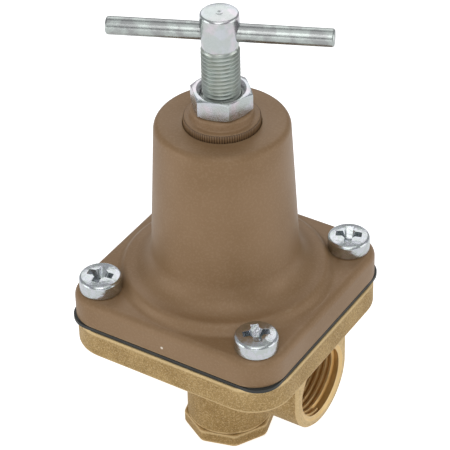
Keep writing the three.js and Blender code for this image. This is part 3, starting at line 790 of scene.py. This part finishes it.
def fade_thread(mesh_edit, start, end, radius):
    """Lets the thread run out into a plain radius between two heights."""
    for vert in mesh_edit.verts:
        share = min(max((vert.co.z - start) / (end - start), 0), 1)
        reach = math.hypot(vert.co.x, vert.co.y)
        scale = 1 + (radius / reach - 1) * share
        vert.co.x *= scale
        vert.co.y *= scale


# %% [markdown]
# ## Adjusting screw
# The screw is cold-headed steel with a rolled thread, so the thread fades out instead of ending
# in a groove. The thread keeps a grey-green film, and the plain head above it is brighter, so the
# piece has two materials. A cross hole takes the T-bar, and staking the bar has raised small lips.

# %% Adjusting screw
screw_low, screw_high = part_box("adjusting_screw")
bar_low, bar_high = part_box("t_bar")
BAR_Z = (bar_low.z + bar_high.z) / 2
BAR_R = (bar_high.z - bar_low.z) / 2
BAR_TURN = math.radians(23.76)
SCREW_R = 5.56 * MM
SCREW_PITCH = 1.27 * MM
SCREW_DEPTH = 0.68 * MM
SHANK_R = 5.32 * MM  # a rolled thread stands proud of the rod that it was rolled on
STAKED_R = 5.55 * MM
STEM_START = screw_high.z - 10.1 * MM
THREAD_TURNS = 26
THREAD_LOW = STEM_START - (THREAD_TURNS + 1.2) * SCREW_PITCH


def swage(mesh_edit):
    """Raises a lip where the bar passes through the stem."""
    for vert in mesh_edit.verts:
        reach = math.hypot(vert.co.x, vert.co.y)
        if vert.co.z < STEM_START or reach < 0.9 * SCREW_R:
            continue
        along = abs(math.cos(math.atan2(vert.co.y, vert.co.x) - BAR_TURN))
        lift = 0.2 * MM * math.exp(-((vert.co.z - BAR_Z) / (3.1 * MM)) ** 2) * along ** 4
        vert.co.x *= 1 + lift / reach
        vert.co.y *= 1 + lift / reach


def make_screw():
    mesh_edit = bmesh.new()
    spin_thread(mesh_edit, SCREW_R, SCREW_R - SCREW_DEPTH, SCREW_PITCH, THREAD_LOW, THREAD_TURNS)
    fade_thread(mesh_edit, STEM_START - 1.3 * SCREW_PITCH, STEM_START, SHANK_R)
    top = screw_high.z
    stem = [(SHANK_R, STEM_START)]
    rise = top - 1.1 * MM - STEM_START
    for step in range(1, 13):
        share = step / 12
        swell = 0.5 - 0.5 * math.cos(math.pi * min(1.6 * share, 1))
        stem.append((SHANK_R + (STAKED_R - SHANK_R) * swell, STEM_START + rise * share))
    stem += arc(STAKED_R - 0.8 * MM, top - 0.9 * MM, 0.8 * MM, 0.9 * MM, 12, 80, 6)
    stem += [(1.3 * MM, top - 0.05 * MM), (0.9 * MM, top - 0.12 * MM)]
    stem += [(0.45 * MM, top - 0.3 * MM), (0, top - 0.32 * MM)]
    extend_spiral(mesh_edit, stem, upper=True)
    root = SCREW_R - SCREW_DEPTH
    tip = [(root, THREAD_LOW - 0.2 * MM), (root - 1 * MM, screw_low.z), (0, screw_low.z)]
    extend_spiral(mesh_edit, tip, upper=False)
    bmesh.ops.remove_doubles(mesh_edit, verts=mesh_edit.verts[:], dist=0.0005 * MM)
    swage(mesh_edit)
    piece = new_piece("adjusting_screw_fine", mesh_edit, zinc_thread, smooth_angle=38)
    piece.data.materials.append(zinc)
    for face in piece.data.polygons:
        if face.center.z > STEM_START - 0.3 * SCREW_PITCH:
            face.material_index = 1
    carve(piece, drum("cross_hole", BAR_R + 0.06 * MM, -9 * MM, 9 * MM, zinc, turn=bar_matrix()))
    sharpen(piece.data, 38)
    return stand_for(piece, "adjusting_screw", "handle_body")


def bar_matrix():
    """Lays a piece made along Z on the bar's own axis."""
    lay_down = Matrix.Rotation(BAR_TURN, 4, "Z") @ Matrix.Rotation(math.pi / 2, 4, "Y")
    return Matrix.Translation((0, 0, BAR_Z)) @ lay_down


make_screw()


# %% T-bar
def make_bar():
    half = (bar_high.x - BAR_R * math.sin(BAR_TURN)) / math.cos(BAR_TURN)
    chamfer = 0.45 * MM
    outline = [(0, -half), (BAR_R - chamfer, -half), (BAR_R, -half + chamfer)]
    outline += [(BAR_R, half - chamfer), (BAR_R - chamfer, half), (0, half)]
    rounds = {1: 0.15 * MM, 2: 0.2 * MM, 3: 0.2 * MM, 4: 0.15 * MM}
    piece = turned("t_bar_fine", outline, zinc_bar, rounds, steps=64, turn=bar_matrix())
    print("bar length, mm:", round(2 * half / MM, 2))
    return stand_for(piece, "t_bar", "handle_body")


make_bar()


# %% [markdown]
# ## Lock nut
# A hexagon nut starts as hexagon bar, and a lathe tool then cuts a cone over both ends, which
# leaves the curved chamfer lines on the flats. The same two steps work here: a six-sided prism is
# intersected with a turned double cone, then drilled and countersunk.

# %% Lock nut
NUT_FLATS = 16.2 * MM
NUT_CORNER = math.radians(14.8)
NUT_CHAMFER_ANGLE = math.radians(27)
NUT_BORE_R = 5.62 * MM
NUT_SINK_R = 7.6 * MM


def make_nut():
    low, high = nut_low.z, nut_high.z
    corner_r = NUT_FLATS / 2 / math.cos(math.pi / 6)
    mesh_edit = bmesh.new()
    turn = Matrix.Translation((0, 0, low)) @ Matrix.Rotation(NUT_CORNER - math.pi / 2, 4, "Z")
    made = bmesh.ops.create_circle(mesh_edit, cap_ends=True, radius=corner_r, segments=6, matrix=turn)
    face = made["verts"][0].link_faces[0]
    grown = bmesh.ops.extrude_face_region(mesh_edit, geom=[face])["geom"]
    risen = [item for item in grown if isinstance(item, bmesh.types.BMVert)]
    bmesh.ops.translate(mesh_edit, vec=(0, 0, high - low), verts=risen)
    piece = new_piece("lock_nut_fine", mesh_edit, zinc)
    flat_r = NUT_FLATS / 2 - 0.1 * MM
    cone_r = corner_r + 0.4 * MM
    fall = (cone_r - flat_r) * math.tan(NUT_CHAMFER_ANGLE)
    cone = [(0, low), (flat_r, low), (cone_r, low + fall), (cone_r, high - fall), (flat_r, high), (0, high)]
    carve(piece, turned("nut_cone", cone, zinc, steps=128), "INTERSECT")
    sink = [(0, low - 1 * MM), (NUT_SINK_R, low - 1 * MM), (NUT_BORE_R, low + 1.2 * MM)]
    sink += [(NUT_BORE_R, high - 1.5 * MM), (NUT_SINK_R - 0.45 * MM, high)]
    sink += [(NUT_SINK_R, high + 0.6 * MM), (0, high + 0.6 * MM)]
    carve(piece, turned("nut_drill", sink, zinc, steps=96))
    soften_edges(piece, 0.16)
    return stand_for(piece, "lock_nut", "nut_body")


make_nut()


# %% [markdown]
# ## Cover screws
# Each screw has a short cylindrical head with a domed crown and a wide cross recess. The recess is
# punched by a tapered four-winged tool, so two tapered blades and a cone cut it here. The screws
# stopped at different angles when they were tightened, so each head has its own turn.

# %% Cover screws
HEAD_R = 6.4 * MM
HEAD_SIDE = 3.7 * MM
CROWN_EDGE = 1.3 * MM
RECESS_HALF = 4.1 * MM
RECESS_WIDTH = 2.2 * MM
RECESS_DEPTH = 3.3 * MM
RECESS_TURNS = (12, 40, 24, 65)
SCREW_SHANK_R = 3.05 * MM


def blade(turn, top):
    """One tapered blade of the cross punch."""
    mesh_edit = bmesh.new()
    bmesh.ops.create_cube(mesh_edit, size=1)
    for vert in mesh_edit.verts:
        upper = vert.co.z > 0
        vert.co.x *= 2 * RECESS_HALF * (1.12 if upper else 0.42)
        vert.co.y *= RECESS_WIDTH * (1.15 if upper else 0.7)
        vert.co.z = top + (0.6 * MM if upper else -RECESS_DEPTH)
    bmesh.ops.transform(mesh_edit, matrix=Matrix.Rotation(turn, 4, "Z"), verts=mesh_edit.verts[:])
    return new_piece("blade", mesh_edit, zinc)


def make_cover_screw(number, turn_degrees):
    low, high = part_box(f"cover_screw_{number}")
    place = Vector(((low.x + high.x) / 2, (low.y + high.y) / 2, 0))
    foot = FLANGE_TOP + 0.04 * MM
    side_top = foot + HEAD_SIDE
    outline = [(0, low.z), (2.6 * MM, low.z), (SCREW_SHANK_R, low.z + 0.5 * MM), (SCREW_SHANK_R, foot)]
    outline += [(HEAD_R - 0.3 * MM, foot), (HEAD_R, foot + 0.3 * MM), (HEAD_R, side_top)]
    crown = high.z - side_top
    outline += arc(HEAD_R - CROWN_EDGE, side_top, CROWN_EDGE, 0.65 * crown, 10, 68, 4)
    outline += [(0.6 * HEAD_R, high.z - 0.16 * crown), (0.3 * HEAD_R, high.z - 0.04 * crown), (0, high.z)]
    piece = turned(f"cover_screw_{number}_fine", outline, zinc_cast, steps=96)
    turn = math.radians(turn_degrees)
    carve(piece, blade(turn, high.z))
    carve(piece, blade(turn + math.pi / 2, high.z))
    recess_floor = high.z - RECESS_DEPTH
    cone = [(0, recess_floor - 0.2 * MM), (1.1 * MM, recess_floor)]
    cone += [(2.5 * MM, high.z + 0.5 * MM), (0, high.z + 0.5 * MM)]
    carve(piece, turned("cone", cone, zinc, steps=32))
    soften_edges(piece, 0.14)
    piece.data.transform(Matrix.Translation(place))
    return stand_for(piece, f"cover_screw_{number}", "regulator_body")


for number, recess_turn in enumerate(RECESS_TURNS):
    make_cover_screw(number + 1, recess_turn)


# %% [markdown]
# ## Brass body
# A casting has no sharp inner corners: the sand rounds every place where two shapes meet. The
# simple shapes are joined, rebuilt as one even skin with a voxel remesh, and relaxed until they
# melt together. The machined faces and bores are cut afterwards, as they are in the workshop.

# %% Shapes of the casting
body_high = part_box("valve_body")[1]
plug_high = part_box("bottom_plug")[1]
BODY_HALF = body_high.y
BODY_CORNER = 12.5 * MM
BODY_TOP = 49.8 * MM
BODY_UNDER = 41.3 * MM
COLUMN_R = 13.2 * MM
COLUMN_FOOT = 4.7 * MM
PORT_Z = 29 * MM
PORT_FACE = 33.3 * MM
PORT_BOSS_R = 14.6 * MM
PORT_RING_R = 12.45 * MM
PORT_END = 18.3 * MM
PASSAGE_R = 4 * MM
PASSAGE_OFFSET = 8 * MM  # the inlet way is this far below the ports' axis, the outlet way above
BOSS_RISE = BODY_TOP - 3 * MM - PORT_Z
CHEEK_LOW = 37 * MM
CHEEK_HIGH = 45.5 * MM
PLUG_BORE_R = 10 * MM
CHAMBER_R = 9.6 * MM
SEAT_BORE_R = 7 * MM
WELL_R = 11 * MM
CAST_GRID = 0.62 * MM  # size of the voxels that rebuild the skin
CAST_RELAX = 12  # smoothing passes, which set how round the inner corners get
ALONG_X = Matrix.Translation((0, 0, PORT_Z)) @ Matrix.Rotation(math.pi / 2, 4, "Y")


def port_blend(side):
    """The sloping cheek between a port's face and the edge of the flange above it."""
    mesh_edit = bmesh.new()
    bmesh.ops.create_cube(mesh_edit, size=1)
    for vert in mesh_edit.verts:
        upper = vert.co.z > 0
        outer = vert.co.x > 0
        vert.co.x = side * ((36.4 if upper else 33.4) * MM if outer else 24 * MM)
        vert.co.y *= (30 if upper else 20) * MM
        vert.co.z = CHEEK_HIGH if upper else CHEEK_LOW
    return new_piece("port_blend", mesh_edit, cast_brass)


def boss_outline(radius):
    """Half round, half a box that reaches up into the flange; up is where the cosine is negative."""
    def reach(angle):
        up, across = -math.cos(angle), abs(math.sin(angle))
        if up <= 0:
            return radius
        return min(radius / max(across, 0.001), BOSS_RISE / up)

    return reach


def port_bar(name, radius, face, chamfer):
    """Both port bosses as one bar along X, chamfered at its ends."""
    near = 0.4 * MM
    end = [(POLE, face), (radius - chamfer - near, face), (radius - chamfer, face), (radius, face - chamfer)]
    end += [(radius, face - chamfer - near)]
    profile = [(reach, -height) for reach, height in end] + end[::-1]
    rings = [(circle(POLE) if reach == POLE else boss_outline(reach), height) for reach, height in profile]
    mesh_edit = bmesh.new()
    cast_rings(mesh_edit, rings, steps=192, closed=False)
    bmesh.ops.transform(mesh_edit, matrix=ALONG_X, verts=mesh_edit.verts[:])
    return new_piece(name, mesh_edit, cast_brass)


def make_rough_casting():
    rough = drum("valve_body_fine", COLUMN_R, COLUMN_FOOT - 3 * MM, BODY_UNDER + 2 * MM, cast_brass)
    carve(rough, port_bar("cross_bar", PORT_BOSS_R - 0.08 * MM, PORT_FACE - 0.5 * MM, 0.3 * MM), "UNION")
    slab, pole = rounded_square(BODY_HALF - 0.9 * MM, BODY_CORNER - 0.9 * MM), circle(POLE)
    low, high = BODY_UNDER - 0.06 * MM, BODY_TOP - 3 * MM
    mesh_edit = bmesh.new()
    cast_rings(mesh_edit, [(pole, low), (slab, low), (slab, high), (pole, high)], closed=False)
    carve(rough, new_piece("slab", mesh_edit, cast_brass), "UNION")
    carve(rough, port_blend(1), "UNION")
    carve(rough, port_blend(-1), "UNION")
    even = rough.modifiers.new("even skin", "REMESH")
    even.mode = "VOXEL"
    even.voxel_size = CAST_GRID
    relax = rough.modifiers.new("relax", "SMOOTH")
    relax.factor = 0.5
    relax.iterations = CAST_RELAX
    apply_modifiers(rough)
    widest = BODY_HALF - 0.03 * MM
    for vert in rough.data.vertices:
        vert.co.x = min(max(vert.co.x, -widest), widest)
    carve(rough, port_bar("machined_bar", PORT_BOSS_R, PORT_FACE, 0.7 * MM), "UNION")
    return rough


# %% Cut the bores and join the machined flange
def flange_plate():
    """The crisp square flange with its shallow round dish for the diaphragm."""
    edge = [(-1.4 * MM, BODY_UNDER), (-0.5 * MM, BODY_UNDER), (-0.15 * MM, BODY_UNDER + 0.15 * MM)]
    edge += [(0, BODY_UNDER + 0.5 * MM), (0, BODY_UNDER + 1.0 * MM), (0, BODY_TOP - 1.1 * MM)]
    edge += [(0, BODY_TOP - 0.3 * MM), (-0.3 * MM, BODY_TOP), (-1.4 * MM, BODY_TOP)]
    rings = [(circle(POLE), BODY_UNDER)]
    rings += [(rounded_square(BODY_HALF + inset, BODY_CORNER + inset), height) for inset, height in edge]
    rings += round_rings([(25 * MM, BODY_TOP), (25 * MM, 47.4 * MM), (21 * MM, 44.4 * MM), (0, 44.4 * MM)])
    mesh_edit = bmesh.new()
    cast_rings(mesh_edit, rings, closed=False)
    return new_piece("flange_plate", mesh_edit, cast_brass)


def inner_bores():
    """All the turned cavities on the vertical axis, as one cutter."""
    plug_top, chamber_top, well_floor, well_top = 12 * MM, 25.6 * MM, 31 * MM, 46 * MM
    steps = [(0, -5 * MM), (20 * MM, -5 * MM), (20 * MM, COLUMN_FOOT), (PLUG_BORE_R, COLUMN_FOOT)]
    steps += [(PLUG_BORE_R, plug_top), (CHAMBER_R, plug_top), (CHAMBER_R, chamber_top)]
    steps += [(SEAT_BORE_R, chamber_top), (SEAT_BORE_R, well_floor), (WELL_R, well_floor)]
    steps += [(WELL_R, well_top), (0, well_top)]
    return turned("bores", steps, cast_brass, steps=64)


def passage(name, low, high, rise):
    """A drilled way along X, above or below the ports' axis."""
    turn = Matrix.Translation((0, 0, rise)) @ ALONG_X
    return drum(name, PASSAGE_R, low, high, cast_brass, turn=turn, steps=32)


def make_body():
    body = make_rough_casting()
    carve(body, flange_plate(), "UNION")
    carve(body, inner_bores())
    for side in (1, -1):
        low, high = sorted((side * PORT_END, side * 40 * MM))
        bore = drum("port_bore", PORT_RING_R - 0.05 * MM, low, high, cast_brass, turn=ALONG_X, steps=72)
        carve(body, bore)
    carve(body, passage("inlet_way", -20 * MM, 0, -PASSAGE_OFFSET))
    carve(body, passage("outlet_way", 0, 20 * MM, PASSAGE_OFFSET))
    sharpen(body.data, 35)
    body.data.materials.append(machined_brass)
    for face in body.data.polygons:
        if BODY_TOP - 0.28 * MM < face.center.z < BODY_TOP - 0.02 * MM:
            face.material_index = 1
    return stand_for(body, "valve_body", "regulator_body")


make_body()


# %% [markdown]
# ## Ports
# Both ports are tapered pipe threads, cut after casting. A tapered thread is a straight one whose
# radius shrinks with depth. The mouth has a bright turned chamfer that meets the first crest.

# %% Threaded ports
PIPE_PITCH = 1.81 * MM
PIPE_DEPTH = 0.85 * MM
PIPE_TURNS = 6
PIPE_CREST_R = 10.9 * MM
PIPE_TAPER = 1 / 32  # the radius shrinks by this share of the depth
MOUTH_R = 12.25 * MM


def make_port(name, side):
    """A closed ring: thread inside, plain outside, made along Z with its mouth at the top."""
    mesh_edit = bmesh.new()
    face = PORT_FACE + 0.03 * MM
    low = face - 0.85 * MM - (PIPE_TURNS + 1) * PIPE_PITCH
    end = PORT_END + 0.05 * MM
    crest = PIPE_CREST_R
    spin_thread(mesh_edit, crest, crest + PIPE_DEPTH, PIPE_PITCH, low, PIPE_TURNS, crest_flat=0.30)
    for vert in mesh_edit.verts:
        taper = 1 - PIPE_TAPER * (face - vert.co.z) / (10 * MM)
        vert.co.x *= taper
        vert.co.y *= taper
    mouth = [(crest + 0.12 * MM, face - 0.75 * MM), (crest + 0.12 * MM, face - 0.6 * MM)]
    mouth += [(MOUTH_R - 0.1 * MM, face - 0.06 * MM), (MOUTH_R + 0.03 * MM, face)]
    extend_spiral(mesh_edit, mouth + [(PORT_RING_R, face), (PORT_RING_R, end)], upper=True)
    extend_spiral(mesh_edit, [(crest, low - 0.3 * MM), (crest, end), (PORT_RING_R, end)], upper=False)
    turn = Matrix.Translation((0, 0, PORT_Z)) @ Matrix.Rotation(side * math.pi / 2, 4, "Y")
    bmesh.ops.transform(mesh_edit, matrix=turn, verts=mesh_edit.verts[:])
    piece = new_piece(name, mesh_edit, machined_brass, smooth_angle=40)
    return stand_for(piece, None, "regulator_body")


make_port("outlet_thread", 1)
make_port("inlet_thread", -1)


# %% [markdown]
# ## Bottom plug and diaphragm rim
# The plug closes the foot of the body. It is an eight-sided casting with worn, rounded corners,
# and the diaphragm shows only as a thin black line that bulges out at the corners, where the
# screws squeeze it.

# %% Bottom plug
PLUG_SIDES = 8
PLUG_CORNER = math.radians(38.3)
PLUG_FLAT_R = 14.5 * MM * math.cos(math.pi / PLUG_SIDES)


def eight_sides(flat_r, corner):
    """An octagon with rounded corners: the smaller of a flat and the round of its nearest corner."""
    def reach(angle):
        half = math.pi / PLUG_SIDES
        off = (angle - PLUG_CORNER + half) % (2 * half) - half
        centre = (flat_r - corner) / math.cos(half)
        flat = flat_r / math.cos(half - abs(off))
        if flat * math.sin(half - abs(off)) <= centre * math.sin(half):
            return flat
        return centre * math.cos(off) + math.sqrt(corner ** 2 - (centre * math.sin(off)) ** 2)

    return reach


def make_plug():
    head = COLUMN_FOOT - 0.15 * MM
    edge = [(-1.6 * MM, 0), (-0.9 * MM, 0), (-0.25 * MM, 0.25 * MM), (0, 0.9 * MM), (0, 1.4 * MM)]
    edge += [(0, head - 1.2 * MM), (0, head - 0.7 * MM), (-0.2 * MM, head - 0.2 * MM), (-0.6 * MM, head)]
    edge += [(-1.2 * MM, head)]
    rings = round_rings([(0, 0.25 * MM), (9 * MM, 0.2 * MM), (10.5 * MM, 0)])
    rings += [(eight_sides(PLUG_FLAT_R + inset, 3 * MM + inset), height) for inset, height in edge]
    rings += round_rings([(9.9 * MM, head), (9.9 * MM, plug_high.z), (0, plug_high.z)])
    mesh_edit = bmesh.new()
    cast_rings(mesh_edit, rings, closed=False)
    piece = new_piece("bottom_plug_fine", mesh_edit, cast_brass, smooth_angle=30)
    return stand_for(piece, "bottom_plug", "regulator_body")


make_plug()


# %% Diaphragm rim
RUBBER_CORNER = 7.2 * MM
RIM_INNER_R = 33 * MM
RUBBER_DRAW = 0.5 * MM  # how far the edge stays back midway between two screws


def squeezed(half, corner):
    """A rounded square that stays back along its sides, where no screw presses the rubber out."""
    outline = rounded_square(half, corner)
    return lambda angle: outline(angle) - RUBBER_DRAW * max(math.cos(4 * angle), 0) ** 0.5


def make_rim():
    low, high = BODY_TOP + 0.02 * MM, FLANGE_BOTTOM - 0.02 * MM
    thick = high - low
    half = FLANGE_HALF - 0.25 * MM
    rings = [(circle(RIM_INNER_R), low), (squeezed(half - 0.25 * MM, RUBBER_CORNER), low)]
    for inset, height in arc(-thick * 0.3, (low + high) / 2, thick * 0.3, thick * 0.46, -70, 70, 6):
        rings.append((squeezed(half + inset, RUBBER_CORNER + inset), height))
    rings += [(squeezed(half - 0.25 * MM, RUBBER_CORNER), high), (circle(RIM_INNER_R), high)]
    mesh_edit = bmesh.new()
    cast_rings(mesh_edit, rings)
    piece = new_piece("diaphragm_rim", mesh_edit, rubber, smooth_angle=60)
    return stand_for(piece, None, "regulator_body")


make_rim()


# %% [markdown]
# ## Inner parts
# The spring, its plates, the valve and the seals stay hidden at rest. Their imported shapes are
# already right, so they only get their materials. The record says which finish each one has.

# %% Materials for the inner parts
SLOT_MATERIALS = {
    "cast_brass": cast_brass,
    "turned_brass": machined_brass,
    "bonnet_paint": paint,
    "zinc_plate": zinc,
    "plain_steel": steel,
    "black_rubber": rubber,
}


def dress_nodes():
    """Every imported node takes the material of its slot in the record."""
    for subpart in frame["record"]["subparts"]:
        material = SLOT_MATERIALS[subpart["material_slot"]]
        for slot in frame["nodes"][subpart["node"]].material_slots:
            slot.material = material


dress_nodes()


# %% [markdown]
# ## Studio
# Plated and cast metal show what is around them, so the light is a few large soft panels on a
# white floor. Two stand low at the left and right, give the bell its two pale bands and reach
# under the flange. Two in front, low and high, fill the column and the slopes of the dome. One
# overhead and one behind light the crown, the flange and the tops of the plated parts.

# %% Floor
CAMERA_GLOW = 0.75  # turns the floor plain white where the camera sees it
BOUNCE_GLOW = 0.30  # lights the undersides softly


def make_floor():
    mesh_edit = bmesh.new()
    bmesh.ops.create_grid(mesh_edit, x_segments=8, y_segments=8, size=3)
    bmesh.ops.translate(mesh_edit, vec=(0, 0, -0.05 * MM), verts=mesh_edit.verts[:])
    material, tree, shader = start_material("white_floor")
    shader.inputs["Base Color"].default_value = (0.8, 0.8, 0.8, 1)
    shader.inputs["Roughness"].default_value = 0.9
    seen = add_node(tree, "ShaderNodeLightPath").outputs["Is Camera Ray"]
    strength = smooth_range(tree, seen, 0.0, 1.0, BOUNCE_GLOW, CAMERA_GLOW)
    glow = add_node(tree, "ShaderNodeEmission", {"Color": (1, 1, 1, 1), "Strength": strength})
    mixed = add_node(tree, "ShaderNodeAddShader", {0: shader.outputs[0], 1: glow.outputs[0]})
    tree.links.new(mixed.outputs[0], tree.nodes["Material Output"].inputs["Surface"])
    floor = new_piece("floor", mesh_edit, material)
    return floor


floor = make_floor()


# %% Panels and sky
LIGHT_AIM = Vector((0, 0, 75 * MM))


def panel(name, side_degrees, height_degrees, distance, size, power):
    """A soft panel; side_degrees is measured from the camera's own direction."""
    side = CAMERA_AZIMUTH + math.radians(side_degrees)
    height = math.radians(height_degrees)
    away = Vector((math.sin(side) * math.cos(height), -math.cos(side) * math.cos(height), math.sin(height)))
    data = bpy.data.lights.new(name, "AREA")
    data.shape = "RECTANGLE"
    data.size, data.size_y = size
    data.energy = power
    light = bpy.data.objects.new(name, data)
    light.location = LIGHT_AIM + away * distance
    light.rotation_euler = away.to_track_quat("Z", "Y").to_euler()
    bpy.context.collection.objects.link(light)
    return light


panel("left panel", -76, 9, 0.75, (0.5, 0.5), 1.2)
panel("right panel", 76, 10, 0.75, (0.5, 0.5), 0.95)
panel("low front panel", -12, 3, 0.95, (0.6, 0.28), 0.6)
panel("high front panel", -8, 46, 0.95, (0.6, 0.5), 1.5)
panel("top panel", 10, 76, 0.8, (0.7, 0.7), 1.0)
panel("back panel", 180, 40, 0.95, (1.0, 0.6), 1.8)


def make_sky():
    world = bpy.data.worlds.new("studio")
    world.use_nodes = True
    background = world.node_tree.nodes["Background"]
    background.inputs["Color"].default_value = (0.95, 0.97, 1.0, 1)
    background.inputs["Strength"].default_value = 0.42
    bpy.context.scene.world = world


make_sky()
bpy.context.scene.view_settings.view_transform = "Standard"
